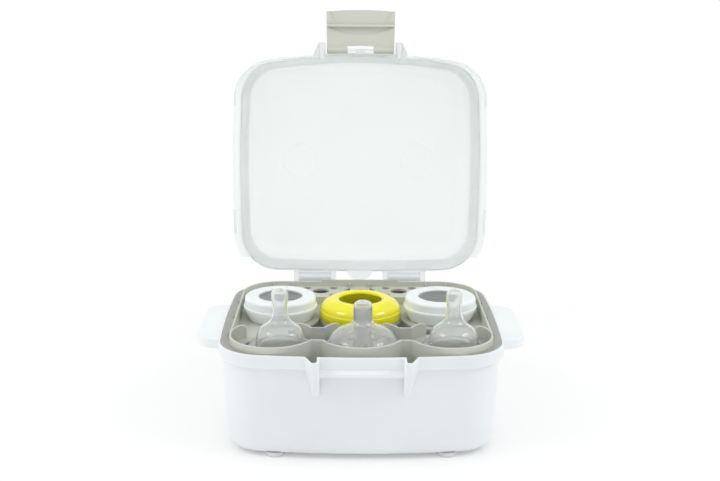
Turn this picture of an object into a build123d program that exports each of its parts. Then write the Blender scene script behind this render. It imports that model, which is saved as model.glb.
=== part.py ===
from build123d import *
import os
from math import cos, radians, sin, sqrt

# Sizes are in millimetres. X points right, Y back and Z up. Heights count from the floor.
# Y places count from the middle of the tub, and each plane adds tub_y to them.
tub_y = -38.5  # the origin lies under the middle of the whole part with its lid open
front_arc_r = 600.0  # plan radius of the bowed front
side_arc_r = 1500.0
rear_arc_r = 2500.0  # the rear is nearly straight

# Tub
rim_z = 92.0  # top of the tub
tub_half_x = 121.3
tub_front = 106.4
tub_rear = 106.4
tub_corner = 38.0
tub_wall = 2.0
tub_floor = 2.4
tub_draft = 3.2  # how much each side of the tub leans in from the rim band down
tub_bottom_round = 9.0
band_height = 11.5  # the rim band, which stands out past the body
band_step = 3.6
band_wall = 1.8
band_round = 1.6
rim_round = 0.7

# Ears beside the latch recess: hollow buttresses that taper down the front
ear_inner_x = 33.9
ear_reach = 12.5  # how far an ear stands out in front of the band
ear_drop = 34.0  # from the rim down to the ear's tip
ear_top_width = 18.0
ear_tip_width = 7.4
ear_bend_drop = 12.0  # from the rim to where the ear starts to narrow
ear_bend_width = 17.0
ear_low_drop = 24.0
ear_low_width = 12.0
ear_wall = 2.0
ear_nose = 6.0  # width of the ear's front facet
ear_nose_round = 1.6

# Catch rib across the recess
catch_drop = 10.6  # from the rim down to the rib's top
catch_height = 5.0
catch_reach = 3.0
catch_slope = 2.2

# Side handles
handle_reach = 19.0
handle_half_length = 49.0
handle_y = -8.0
handle_slant = 5.0  # how much shorter each half is at the outer edge
handle_root = 12.0  # how far the handle runs into the tub before the bowl is hollowed
handle_round = 17.0
handle_thickness = 2.6
handle_edge_round = 1.2
handle_drop = 1.2  # from the rim down to the handle's top face
handle_skirt = 8.5
handle_skirt_wall = 2.2

# Feet
foot_height = 3.0
foot_r = 8.8
foot_x = 71.8
foot_front_y = 85.0
foot_rear_y = 80.0
foot_seat = 0.8  # how deep a foot sits in its round seat
foot_dish_r = 5.0
foot_dish = 0.6
foot_gap = 0.1
foot_chamfer = 0.8

# Hinge
hinge_y = 109.6
hinge_rise = 6.0  # the pivot's height over the rim
barrel_r = 5.0
barrel_inner_x = 28.2
barrel_outer_x = 59.4
barrel_root = 4.0  # how far the barrel's web starts over the band's lower edge and under the pivot
pivot_r = 2.4
pivot_gap = 0.07
hinge_side_gap = 0.4
lid_open_angle = 98.0

# Rack tray
rack_top_z = 98.0  # top edge of the rack's wall
rack_wall = 1.7
pocket_r = 34.6
pocket_pitch = 74.0
front_pocket_y = -62.6
rear_pocket_y = 21.5
rack_rear = 96.0  # outside of the rear wall
rack_rear_corner = 35.0
crest_drop = 16.4  # how far back from the pocket centres' line the wall runs between two pockets
deck_drop = 12.5  # from the wall's top down to the deck
deck_thickness = 2.0
ledge_width = 8.5
rim_gap = 0.4  # between the rack's flange and the tub's band
flange_thickness = 1.8
crest_round = 2.0
rack_edge = 0.45  # the bevel along the wall's top
bay_margin = 16.0  # the flange ends this far outside the outer front pockets' middles
wing_start_x = 17.5  # how near the divider wings come to the pocket's middle line
wing_end_x = 31.3
wing_flat_rise = 15.6  # how far behind the front pockets' middles the flat stretch runs
wing_round = 6.0
wing_stub_x = 24.3  # where the short outer dividers end
stub_set_back = 0.4  # a stub stands a little outside the pocket's circle
apron_half = 15.0
apron_drop = 8.0  # the wall between two front pockets hangs this far under the ledge
star_half_x = 26.0
star_margin = 1.0
shelf_drop = 5.0
shelf_front_y = 58.6
shelf_thickness = 2.0
shelf_skirt = 31.0
medium_hole_r = 8.0
medium_hole_x = 37.4
medium_hole_y = 79.0
small_hole_r = 4.0
small_hole_x = 25.3
small_hole_inset = 7.5  # from the shelf's front and rear edges
large_hole_r = 14.5
large_hole_y = 79.0
bridge_hole_r = 6.5
lip_half_x = 37.0
lip_rise = 1.5
rib_spread = 9.5
rib_thickness = 1.2
rib_run = 6.2
rib_drop = 1.5
gusset_drop = 1.5
gusset_thickness = 1.2
gusset_reach = 3.6
gusset_places = (-49.4, -3.8, 40.0)

# Lid
lid_gap = 0.5  # between the lid's skirt and the tub's band
skirt_wall = 1.5
skirt_drop = 4.5  # from the rim down to the skirt's lower edge
lid_wall = 1.7
lid_seat_gap = 0.4  # between the rack's flange and the lid's own flange
lid_flange_thickness = 1.8
lid_flange_x = 6.0  # flange between the skirt's outside and the shell's outside, at the sides
lid_flange_front = 1.6
lid_rear = 103.0
lid_height = 66.0  # from the rim up to the lid's top
lid_draft = 4.0
lid_corner = 36.0
lid_top_round = 20.0
skirt_rear_y = 66.0
tab_half_x = 13.3
tab_reach = 9.0
tab_lift = 1.0  # over the lid's flange
arm_plate = 4.7
arm_web_thickness = 1.8
lid_ear_rise = 20.0
lid_rear_cut = 14.0
arm_end_r = 4.5
web_gap = 0.4
stub_length = 8.0
notch_gap = 1.6  # between a handle and the notch in the lid's skirt

# Latch and its bracket on the lid
latch_axis_reach = 3.2  # in front of the lid's skirt
latch_axis_rise = 6.5  # over the rim
latch_half_x = 32.6
latch_length = 38.7  # from the axis to the free end
latch_thickness = 2.6
latch_barrel_r = 3.5
latch_barrel_inner_x = 12.6
latch_end_half_x = 33.2
latch_heel = 4.5  # the bar behind the axis reaches this far
latch_heel_start = 2.7
latch_heel_inner_x = 4.6
latch_end_bow = 1.6
latch_inner = 1.0
latch_window_reach = 4.2
latch_barrel_wall = 2.5
hollow_sagitta = 8.0  # lens-shaped hollow between the hook and the axis
hollow_depth = 1.2
latch_boss_r = 1.9
latch_boss_hole_r = 0.9
latch_boss_rise = 0.4
latch_boss_margin = 0.8
hook_place = 22.5  # from the axis to the hook's near face
hook_reach = 3.4
hook_thickness = 2.2
bar_half_x = 29.0
bar_r = 1.7
bar_gap = 0.07
bracket_half_x = 4.0
grip_half_x = 24.0
grip_end_half_x = 30.6
grip_bow = 4.0
grip_depth = 1.3

# Screw rings
ring_height = 20.4
ring_ridge_r = 33.3
ring_foot_r = 29.8
ring_shoulder_r = 32.1
ring_ridge_z = 10.4
ring_hole_r = 19.7
ring_wall = 2.2
ring_top_round = 4.0
ring_x = 72.6
ring_y = 21.6
wide_ring_r = 37.0
wide_ring_height = 19.5
wide_ring_skirt = 9.5
wide_ring_hole_r = 19.3
wide_ring_y = 20.6
seat_gap = 0.3  # under loose pieces that stand in the rack

# Teats
teat_wall = 1.6
teat_flange_r = 27.2
teat_flange_thickness = 2.6
teat_dome_r = 20.15
teat_tip_r = 7.2
teat_neck_r = 6.6
teat_height = 50.9
teat_left_x = -67.8
teat_right_x = 77.3
wide_teat_r = 31.4
wide_teat_height = 41.0
wide_teat_dome_r = 29.6
wide_teat_x = 1.2
wide_teat_tip_r = 8.0
wide_teat_neck_r = 7.4
teat_base_play = 0.5  # between the vent's disc and the teat round it
vent_r = 8.2
vent_height = 22.0
vent_disc = 1.6
vent_hole_r = 4.5
vent_hole_count = 6
vent_taper = 3.0  # degrees
vent_hole_ring_r = 18.0

# Heights that follow
band_low_z = rim_z - band_height
ledge_z = band_low_z + tub_wall
deck_z = rack_top_z - deck_drop
shelf_z = rack_top_z - shelf_drop
hinge_z = rim_z + hinge_rise
flange_top_z = rim_z
lid_flange_low_z = flange_top_z + lid_seat_gap
lid_top_z = rim_z + lid_height
latch_axis_z = rim_z + latch_axis_rise

# Plan sizes that follow
rack_half_x = pocket_pitch + pocket_r + rack_wall
lid_half_x = tub_half_x + lid_gap + skirt_wall
lid_front = tub_front + lid_gap + skirt_wall
latch_axis_y = -(lid_front + latch_axis_reach)

row_middle_y = (front_pocket_y + rear_pocket_y) / 2
pocket_xs = (-pocket_pitch, 0.0, pocket_pitch)
pocket_places = [(x, y) for x in pocket_xs for y in (front_pocket_y, rear_pocket_y)]


def level(z):
    """A level plane at height z over the floor, with its middle over the tub's middle."""
    return Plane((0, tub_y, z))


def turned(y, z):
    """Where a point of the closed lid lies when the lid is open."""
    angle = radians(lid_open_angle)
    back = y - hinge_y
    up = z - hinge_z
    return (
        0,
        tub_y + hinge_y + back * cos(angle) + up * sin(angle),
        hinge_z - back * sin(angle) + up * cos(angle),
    )


def lid_level(z):
    """The plane that lies level at height z when the lid is closed."""
    angle = radians(lid_open_angle)
    return Plane(turned(0, z), x_dir=(1, 0, 0), z_dir=(0, sin(angle), cos(angle)))


def lid_section(x=0.0):
    """The upright plane across the lid at x: its X runs forward and its Y up when the lid is closed."""
    angle = radians(lid_open_angle)
    origin = turned(0, 0)
    forward = (0, -cos(angle), sin(angle))
    return Plane((x, origin[1], origin[2]), x_dir=forward, z_dir=(-1, 0, 0))


def bowed_outline(half_x, front, rear, corner, shrink=0.0):
    """A rounded rectangle with bowed sides, made smaller all round by shrink."""
    wide = half_x - shrink
    near = front - shrink
    far = rear - shrink
    near_r = front_arc_r - shrink
    side_r = side_arc_r - shrink
    rear_r = rear_arc_r - shrink
    middle_y = (far - near) / 2
    half_y = (far + near) / 2
    corner_x = wide - half_y**2 / (2 * side_r)
    front_y = -near + corner_x**2 / (2 * near_r)
    rear_y = far - corner_x**2 / (2 * rear_r)
    with BuildSketch() as outline:
        with BuildLine():
            ThreePointArc((-corner_x, front_y), (0, -near), (corner_x, front_y))
            ThreePointArc((corner_x, front_y), (wide, middle_y), (corner_x, rear_y))
            ThreePointArc((corner_x, rear_y), (0, far), (-corner_x, rear_y))
            ThreePointArc((-corner_x, rear_y), (-wide, middle_y), (-corner_x, front_y))
        make_face()
        fillet(outline.vertices(), radius=corner - shrink)
    return outline.sketch


def tub_outline(shrink=0.0):
    return bowed_outline(tub_half_x, tub_front, tub_rear, tub_corner, shrink)


def ear_plan(width, reach, base_y, shrink=0.0):
    """Plan of the right ear: straight towards the recess, sloping away outside."""
    inner = ear_inner_x + shrink
    nose = ear_nose - shrink
    with BuildSketch() as plan:
        with BuildLine():
            Polyline(
                (inner, base_y),
                (inner, -reach + shrink),
                (inner + nose, -reach + shrink),
                (inner + width - 2 * shrink, base_y),
                close=True,
            )
        make_face()
        noses = plan.vertices().sort_by(Axis.Y)[:2]
        fillet(noses, radius=ear_nose_round)
    return plan.sketch


def upright(x, y, z=0.0):
    """An upright plane facing the front, through the axis of a round piece."""
    return Plane((x, tub_y + y, z), x_dir=(1, 0, 0), z_dir=(0, -1, 0))


def side_plane(x):
    """An upright plane across the tub at x: its X runs back and its Y up."""
    return Plane((x, tub_y, 0), x_dir=(0, 1, 0), z_dir=(1, 0, 0))


def ear_form(shrink=0.0, rise=0.0):
    """The tub's right ear, which narrows in a curve down to its tip, or the hollow in it."""
    lean = (ear_reach + band_step) / ear_drop
    with BuildPart() as form:
        for drop, width in (
            (ear_drop - 2 * shrink, ear_tip_width),
            (ear_low_drop, ear_low_width),
            (ear_bend_drop, ear_bend_width),
            (-rise, ear_top_width),
        ):
            with BuildSketch(level(rim_z - drop)):
                add(ear_plan(width, tub_front + ear_reach - lean * drop, ear_root_y, shrink))
        loft(ruled=True)
    return form.part


def handle_form(shrink=0.0):
    """Plan of the right handle: it narrows a little outwards and has rounded outer corners."""
    inner = tub_half_x - handle_root
    outer = tub_half_x + handle_reach
    root_half = handle_half_length + handle_slant * handle_root / handle_reach
    outer_half = handle_half_length - handle_slant
    with BuildSketch() as plan:
        with BuildLine():
            Polyline(
                (inner, handle_y - root_half),
                (outer, handle_y - outer_half),
                (outer, handle_y + outer_half),
                (inner, handle_y + root_half),
                close=True,
            )
        make_face()
        fillet(plan.vertices().sort_by(Axis.X)[-2:], radius=handle_round)
        if shrink:
            offset(amount=-shrink, kind=Kind.INTERSECTION, mode=Mode.REPLACE)
    return plan.sketch


# Tub: a bowed bowl with a rim band, ears, a catch rib, handles and hinge barrels
ear_root_y = -tub_front + 14.0
right_ear = ear_form()
right_ear_hollow = ear_form(ear_wall, 1.0)

with BuildPart() as tub_hollow:
    with BuildSketch(level(foot_height + tub_floor)):
        add(tub_outline(band_step + tub_draft + tub_wall))
    with BuildSketch(level(ledge_z)):
        add(tub_outline(band_step + tub_wall))
    loft(ruled=True)
    fillet(tub_hollow.edges().group_by(Axis.Z)[0], radius=tub_bottom_round - tub_wall)
    with BuildSketch(level(ledge_z)):
        add(tub_outline(band_wall))
    extrude(amount=band_height)
    add(right_ear_hollow)
    mirror(right_ear_hollow, about=Plane.YZ)

with BuildPart() as right_handle:
    with BuildSketch(level(rim_z - handle_drop - handle_skirt)):
        add(handle_form())
    extrude(amount=handle_skirt)
    fillet(right_handle.edges().group_by(Axis.Z)[-1].sort_by(Axis.X)[1:], radius=handle_edge_round)
    with BuildSketch(level(rim_z - handle_drop - handle_skirt)):
        add(handle_form(handle_skirt_wall))
    extrude(amount=handle_skirt - handle_thickness, mode=Mode.SUBTRACT)

with BuildPart() as tub:
    with BuildSketch(level(foot_height)):
        add(tub_outline(band_step + tub_draft))
    with BuildSketch(level(band_low_z)):
        add(tub_outline(band_step))
    loft(ruled=True)
    fillet(tub.edges().group_by(Axis.Z)[0], radius=tub_bottom_round)
    with BuildSketch(level(band_low_z)):
        add(tub_outline())
    extrude(amount=band_height)
    middle = (0, tub_y, band_low_z)
    band_low_edges = tub.edges().filter_by_position(Axis.Z, band_low_z - 0.1, band_low_z + 0.1)
    fillet(band_low_edges.sort_by_distance(middle)[-8:], radius=band_round)
    fillet(tub.edges().group_by(Axis.Z)[-1], radius=rim_round)
    add(right_handle.part)
    mirror(right_handle.part, about=Plane.YZ)
    add(right_ear)
    mirror(right_ear, about=Plane.YZ)
    with BuildSketch(side_plane(-ear_inner_x)):
        with BuildLine():
            catch_top = rim_z - catch_drop
            Polyline(
                (-tub_front + catch_reach, catch_top + catch_slope),
                (-tub_front - catch_reach, catch_top - catch_slope),
                (-tub_front - catch_reach, catch_top - catch_height),
                (-tub_front + catch_reach, catch_top - catch_height),
                close=True,
            )
        make_face()
    extrude(amount=2 * ear_inner_x)
    for barrel_x in (-barrel_outer_x, barrel_inner_x):
        with BuildSketch(side_plane(barrel_x)):
            with Locations((hinge_y, hinge_z)):
                Circle(barrel_r)
            with BuildLine():
                Polyline(
                    (hinge_y - barrel_r, hinge_z),
                    (hinge_y - barrel_r, band_low_z + barrel_root),
                    (tub_rear, band_low_z + barrel_root),
                    (hinge_y + barrel_r, hinge_z - barrel_root),
                    (hinge_y + barrel_r, hinge_z),
                    close=True,
                )
            make_face()
        extrude(amount=barrel_outer_x - barrel_inner_x)
    add(tub_hollow.part, mode=Mode.SUBTRACT)
    with BuildSketch(side_plane(-barrel_outer_x)):
        with Locations((hinge_y, hinge_z)):
            Circle(pivot_r + pivot_gap)
    extrude(amount=2 * barrel_outer_x, mode=Mode.SUBTRACT)
    for foot_y in (-foot_front_y, foot_rear_y):
        for side in (-1, 1):
            with BuildSketch(level(foot_height)):
                with Locations((side * foot_x, foot_y)):
                    Circle(foot_r)
            extrude(amount=foot_seat, mode=Mode.SUBTRACT)
tub.part.label = "base_tub"
os.makedirs("parts", exist_ok=True)
export_step(tub.part, "parts/base_tub.step")

# Feet: four discs in round seats, each with a shallow dish below
for foot_name, foot_side, foot_y in (
    ("foot_front_left", -1, -foot_front_y),
    ("foot_front_right", 1, -foot_front_y),
    ("foot_rear_left", -1, foot_rear_y),
    ("foot_rear_right", 1, foot_rear_y),
):
    with BuildPart() as foot:
        with BuildSketch(level(0)):
            with Locations((foot_side * foot_x, foot_y)):
                Circle(foot_r - foot_gap)
        extrude(amount=foot_height + foot_seat)
        chamfer(foot.edges().group_by(Axis.Z)[0], length=foot_chamfer)
        with BuildSketch(level(0)):
            with Locations((foot_side * foot_x, foot_y)):
                Circle(foot_dish_r)
        extrude(amount=foot_dish, mode=Mode.SUBTRACT)
    foot.part.label = foot_name
    export_step(foot.part, f"parts/{foot_name}.step")


def rack_outline(shrink=0.0):
    """Plan of the rack's wall: scalloped round the front pockets and straight at the rear."""
    crest_y = front_pocket_y - crest_drop
    with BuildSketch() as plan:
        with Locations((0, (front_pocket_y + rack_rear) / 2)):
            Rectangle(2 * rack_half_x, rack_rear - front_pocket_y)
        fillet(plan.vertices().sort_by(Axis.Y)[-2:], radius=rack_rear_corner)
        with Locations((0, front_pocket_y - crest_drop / 2)):
            Rectangle(2 * pocket_pitch, crest_drop)
        with Locations([(x, front_pocket_y) for x in pocket_xs]):
            Circle(pocket_r + rack_wall)
        fillet(plan.vertices().filter_by_position(Axis.Y, crest_y - 0.1, crest_y + 0.1), radius=crest_round)
        if shrink:
            offset(amount=-shrink, kind=Kind.INTERSECTION, mode=Mode.REPLACE)
    return plan.sketch


def front_bay():
    """The stretch round the fronts of the front pockets that has no flange."""
    with BuildSketch() as bay:
        with Locations((0, -tub_front)):
            Rectangle(2 * (pocket_pitch + bay_margin), 2 * (tub_front + front_pocket_y))
    return bay.sketch


def wing(pocket_x, start_dx, end_dx, inner_r=pocket_r):
    """A divider that hugs the rear of a front pocket, from start_dx to end_dx beside its middle."""
    middle_dx = (start_dx + end_dx) / 2
    inward = wing_round if end_dx > start_dx else -wing_round
    with BuildSketch() as window:
        with Locations((pocket_x + middle_dx, front_pocket_y + pocket_r)):
            Rectangle(abs(end_dx - start_dx), 2 * pocket_r)
    with BuildPart() as form:
        with BuildSketch(level(deck_z)):
            with Locations((pocket_x, front_pocket_y)):
                Circle(inner_r + rack_wall)
                Circle(inner_r, mode=Mode.SUBTRACT)
            add(window.sketch, mode=Mode.INTERSECT)
        extrude(amount=rack_top_z - deck_z)
        with BuildSketch(upright(pocket_x + start_dx, front_pocket_y + pocket_r)):
            with Locations((inward / 2, rack_top_z - wing_round / 2)):
                Rectangle(wing_round, wing_round)
            with Locations((inward, rack_top_z - wing_round)):
                Circle(wing_round, mode=Mode.SUBTRACT)
        extrude(amount=pocket_r, both=True, mode=Mode.SUBTRACT)
    return form.part


# Rack: a deck with ledges under the six pockets and two star openings
with BuildPart() as rack:
    with BuildSketch(level(deck_z - deck_thickness)):
        add(rack_outline(rack_wall))
        with Locations((0, shelf_front_y + rack_rear / 2)):
            Rectangle(2 * rack_half_x, rack_rear, mode=Mode.SUBTRACT)
        with Locations(pocket_places):
            Circle(pocket_r - ledge_width, mode=Mode.SUBTRACT)
    extrude(amount=deck_thickness)
    with BuildSketch(level(deck_z - deck_thickness)):
        with Locations([(side * pocket_pitch / 2, row_middle_y) for side in (-1, 1)]):
            Rectangle(2 * star_half_x, rear_pocket_y - front_pocket_y)
        with Locations(pocket_places):
            Circle(pocket_r + rack_wall + star_margin, mode=Mode.SUBTRACT)
    extrude(amount=deck_thickness, mode=Mode.SUBTRACT)
rack.part.label = "rack_tray"
export_step(rack.part, "parts/rack_tray.step")

# The rack's scalloped wall, with short dividers at the sides, a lip at the rear and an apron at each crest
with BuildPart() as rack_shell:
    with BuildSketch(level(ledge_z)):
        add(rack_outline())
        add(rack_outline(rack_wall), mode=Mode.SUBTRACT)
    extrude(amount=rack_top_z - ledge_z)
    chamfer(rack_shell.edges().group_by(Axis.Z)[-1], length=rack_edge)
    with BuildSketch(level(ledge_z - apron_drop)):
        for side in (-1, 1):
            with Locations((side * pocket_pitch / 2, front_pocket_y - pocket_r / 2)):
                Rectangle(2 * apron_half, pocket_r)
        add(rack_outline(), mode=Mode.INTERSECT)
        add(rack_outline(rack_wall), mode=Mode.SUBTRACT)
    extrude(amount=apron_drop)
    for side in (-1, 1):
        wall_dx = side * (pocket_r + rack_wall / 2)
        add(wing(side * pocket_pitch, side * wing_stub_x, wall_dx, pocket_r + stub_set_back))
    with BuildSketch(level(rack_top_z - rack_edge)):
        with Locations((0, rack_rear - rack_wall / 2)):
            Rectangle(2 * lip_half_x, rack_wall)
    extrude(amount=lip_rise + rack_edge)
rack_shell.part.label = "rack_wall"
export_step(rack_shell.part, "parts/rack_wall.step")

# Dividers between the front pockets: two arcs joined by a flat stretch
for divider_name, side in (("rack_divider_left", -1), ("rack_divider_right", 1)):
    with BuildPart() as divider:
        add(wing(0, side * wing_start_x, side * wing_end_x))
        add(wing(side * pocket_pitch, -side * wing_start_x, -side * wing_end_x))
        with BuildSketch(level(deck_z)):
            with Locations((side * pocket_pitch / 2, front_pocket_y + wing_flat_rise)):
                Rectangle(pocket_pitch - 2 * wing_end_x + rack_wall, rack_wall)
        extrude(amount=rack_top_z - deck_z)
    divider.part.label = divider_name
    export_step(divider.part, f"parts/{divider_name}.step")

# Rear shelf of the rack, with holes for small pieces, a skirt down its front and ribs at the rear wall
with BuildPart() as shelf:
    with BuildSketch(level(shelf_z - shelf_thickness)):
        with Locations((0, (shelf_front_y + rack_rear) / 2)):
            Rectangle(2 * rack_half_x, rack_rear - shelf_front_y)
        with Locations((-medium_hole_x, medium_hole_y), (medium_hole_x, medium_hole_y)):
            Circle(medium_hole_r, mode=Mode.SUBTRACT)
        for hole_x in (-2 * small_hole_x, -small_hole_x, small_hole_x, 2 * small_hole_x):
            with Locations((hole_x, rack_rear - small_hole_inset)):
                Circle(small_hole_r, mode=Mode.SUBTRACT)
        for hole_x in (-small_hole_x, small_hole_x):
            with Locations((hole_x, shelf_front_y + small_hole_inset)):
                Circle(small_hole_r, mode=Mode.SUBTRACT)
        for pocket_x in pocket_xs:
            with Locations((pocket_x, large_hole_y)):
                Circle(large_hole_r, mode=Mode.SUBTRACT)
                Rectangle(2 * rib_spread, 2 * large_hole_r + 1.0)
                Circle(bridge_hole_r, mode=Mode.SUBTRACT)
        add(rack_outline(rack_wall), mode=Mode.INTERSECT)
    extrude(amount=shelf_thickness)
    with BuildSketch(level(shelf_z - shelf_skirt)):
        with Locations((0, shelf_front_y + shelf_thickness / 2)):
            Rectangle(2 * rack_half_x - 2 * rack_wall, shelf_thickness)
    extrude(amount=shelf_skirt)
    with BuildSketch(level(shelf_z - rib_thickness)):
        for pocket_x in pocket_xs:
            for side in (-1, 1):
                with Locations((pocket_x + side * rib_spread, rack_rear - rib_run / 2)):
                    Rectangle(rib_thickness, rib_run)
        add(rack_outline(rack_wall), mode=Mode.INTERSECT)
    extrude(amount=rack_top_z - rib_drop - shelf_z + rib_thickness)
shelf.part.label = "rack_shelf"
export_step(shelf.part, "parts/rack_shelf.step")

# The rack's flange, which reaches over to the tub's band and hangs down inside it
with BuildPart() as flange:
    with BuildSketch(level(flange_top_z - flange_thickness)):
        add(tub_outline(band_wall + rim_gap))
        add(rack_outline(), mode=Mode.SUBTRACT)
        add(front_bay(), mode=Mode.SUBTRACT)
    extrude(amount=flange_thickness)
    with BuildSketch(level(ledge_z)):
        add(tub_outline(band_wall + rim_gap))
        add(tub_outline(band_wall + rim_gap + flange_thickness), mode=Mode.SUBTRACT)
        add(rack_outline(), mode=Mode.SUBTRACT)
        add(front_bay(), mode=Mode.SUBTRACT)
    extrude(amount=flange_top_z - ledge_z)
    for gusset_y in gusset_places:
        for side in (-1, 1):
            with BuildSketch(upright(0, gusset_y + gusset_thickness / 2)):
                with BuildLine():
                    Polyline(
                        (side * rack_half_x, flange_top_z - flange_thickness),
                        (side * (rack_half_x + gusset_reach), flange_top_z - flange_thickness),
                        (side * (rack_half_x + gusset_reach), flange_top_z),
                        (side * rack_half_x, rack_top_z - gusset_drop),
                        close=True,
                    )
                make_face()
            extrude(amount=gusset_thickness)
flange.part.label = "rack_flange"
export_step(flange.part, "parts/rack_flange.step")


def shell_outline(shrink=0.0):
    """Plan of the lid's hood, inside the flange."""
    half_x = lid_half_x - lid_flange_x
    return bowed_outline(half_x, lid_front - lid_flange_front, lid_rear, lid_corner, shrink)


def skirt_outline(shrink=0.0):
    """Plan of the lid's flange and of the skirt that hangs from it."""
    return bowed_outline(lid_half_x, lid_front, tub_rear, tub_corner, shrink)


def in_front_of(y):
    """Plan of all that lies in front of y."""
    with BuildSketch() as field:
        with Locations((0, y - lid_front)):
            Rectangle(3 * lid_half_x, 2 * lid_front)
    return field.sketch


def lid_ear(low_shrink, low_z, high_z):
    """The lid's right ear, or the hollow in it: it leans back into the hood."""
    front_at_top = lid_front - lid_flange_front - lid_draft * lid_ear_rise / lid_height
    with BuildPart() as form:
        with BuildSketch(lid_level(low_z)):
            add(ear_plan(ear_top_width, tub_front + ear_reach, ear_root_y, low_shrink))
        with BuildSketch(lid_level(high_z)):
            add(ear_plan(ear_tip_width, front_at_top, ear_root_y, low_shrink / 2))
        loft(ruled=True)
    return form.part


# Lid: a domed hood with a flange, a skirt, a rear tab and ears over the tub's ears
lid_up = Axis(turned(0, 0), tuple(lid_level(0).z_dir))
with BuildPart() as hood:
    with BuildSketch(lid_level(lid_flange_low_z)):
        add(shell_outline())
    with BuildSketch(lid_level(lid_top_z)):
        add(shell_outline(lid_draft))
    loft(ruled=True)
    fillet(hood.faces().sort_by(lid_up)[-1].edges(), radius=lid_top_round)

with BuildPart() as hood_hollow:
    with BuildSketch(lid_level(lid_flange_low_z)):
        add(shell_outline(lid_wall))
    with BuildSketch(lid_level(lid_top_z - lid_wall)):
        add(shell_outline(lid_draft + lid_wall))
    loft(ruled=True)
    fillet(hood_hollow.faces().sort_by(lid_up)[-1].edges(), radius=lid_top_round - lid_wall)

skirt_low_z = rim_z - skirt_drop
ear_cover = lid_ear(0.0, lid_flange_low_z, lid_flange_low_z + lid_ear_rise)
ear_cover_hollow = lid_ear(lid_wall, lid_flange_low_z, lid_flange_low_z + lid_ear_rise - 2 * lid_wall)
with BuildPart() as lid:
    with BuildSketch(lid_level(lid_flange_low_z)):
        add(skirt_outline())
        add(in_front_of(lid_rear - lid_rear_cut), mode=Mode.INTERSECT)
        add(shell_outline())
    extrude(amount=lid_flange_thickness)
    with BuildSketch(lid_level(skirt_low_z)):
        add(skirt_outline())
        add(skirt_outline(skirt_wall), mode=Mode.SUBTRACT)
        add(in_front_of(skirt_rear_y), mode=Mode.INTERSECT)
        with Locations((0, handle_y)):
            Rectangle(3 * lid_half_x, 2 * (handle_half_length + notch_gap), mode=Mode.SUBTRACT)
        for side in (-1, 1):
            with Locations((side * (ear_inner_x + ear_top_width / 2), -lid_front)):
                Rectangle(ear_top_width + 2 * lid_gap, 6 * skirt_wall, mode=Mode.SUBTRACT)
    extrude(amount=lid_flange_low_z - skirt_low_z + lid_flange_thickness / 2)
    add(hood.part)
    add(ear_cover)
    mirror(ear_cover, about=Plane.YZ)
    with BuildSketch(lid_level(lid_flange_low_z + tab_lift)):
        with Locations((0, lid_rear + tab_reach - tab_half_x)):
            Circle(tab_half_x)
        with Locations((0, lid_rear - tab_half_x)):
            Rectangle(2 * tab_half_x, 2 * tab_half_x)
    extrude(amount=lid_flange_thickness)
    add(hood_hollow.part, mode=Mode.SUBTRACT)
    add(ear_cover_hollow, mode=Mode.SUBTRACT)
    mirror(ear_cover_hollow, about=Plane.YZ, mode=Mode.SUBTRACT)
lid.part.label = "lid"
export_step(lid.part, "parts/lid.step")

# Hinge arms behind the hood: two plates joined by a web, with stubs that turn in the tub's barrels
arm_run = hinge_y - lid_rear + lid_wall
arm_middle_y = hinge_y - arm_run / 2
web_top = barrel_r + web_gap + arm_web_thickness  # over the pivot
plate_xs = (barrel_inner_x - hinge_side_gap - arm_plate, barrel_outer_x + hinge_side_gap)
for arm_name, side in (("hinge_arm_left", -1), ("hinge_arm_right", 1)):
    with BuildPart() as arm:
        for plate_x in plate_xs:
            with BuildSketch(lid_section(side * (plate_x + arm_plate / 2))):
                with Locations((-hinge_y, hinge_z)):
                    Circle(arm_end_r)
                with Locations((-arm_middle_y, hinge_z + (web_top - arm_end_r) / 2)):
                    Rectangle(arm_run, web_top + arm_end_r)
            extrude(amount=arm_plate / 2, both=True)
        with BuildSketch(lid_section(side * (barrel_inner_x + barrel_outer_x) / 2)):
            with Locations((-arm_middle_y, hinge_z + web_top - arm_web_thickness / 2)):
                Rectangle(arm_run, arm_web_thickness)
        extrude(amount=(barrel_outer_x - barrel_inner_x) / 2 + hinge_side_gap + arm_plate, both=True)
        for stub_x, inward in ((barrel_inner_x - hinge_side_gap, -1), (barrel_outer_x + hinge_side_gap, 1)):
            with BuildSketch(lid_section(side * stub_x)):
                with Locations((-hinge_y, hinge_z)):
                    Circle(pivot_r)
            extrude(amount=side * inward * stub_length)
        add(lid.part, mode=Mode.SUBTRACT)
    arm.part.label = arm_name
    export_step(arm.part, f"parts/{arm_name}.step")

# Latch bracket: a block on the lid's front with the bar that the latch turns on
with BuildPart() as bracket:
    with BuildSketch(lid_section()):
        with BuildLine():
            Polyline(
                (lid_front - lid_flange_front - lid_wall / 2, lid_flange_low_z),
                (lid_front, lid_flange_low_z),
                (-latch_axis_y + bar_r, latch_axis_z - bar_r),
                (-latch_axis_y + bar_r, latch_axis_z + bar_r),
                (-latch_axis_y, latch_axis_z + 2 * bar_r),
                (lid_front - lid_flange_front - lid_wall, latch_axis_z + 4 * bar_r),
                close=True,
            )
        make_face()
    extrude(amount=bracket_half_x, both=True)
    with BuildSketch(lid_section()):
        with Locations((-latch_axis_y, latch_axis_z)):
            Circle(bar_r)
    extrude(amount=bar_half_x, both=True)
    add(lid.part, mode=Mode.SUBTRACT)
bracket.part.label = "latch_bracket"
export_step(bracket.part, "parts/latch_bracket.step")

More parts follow.
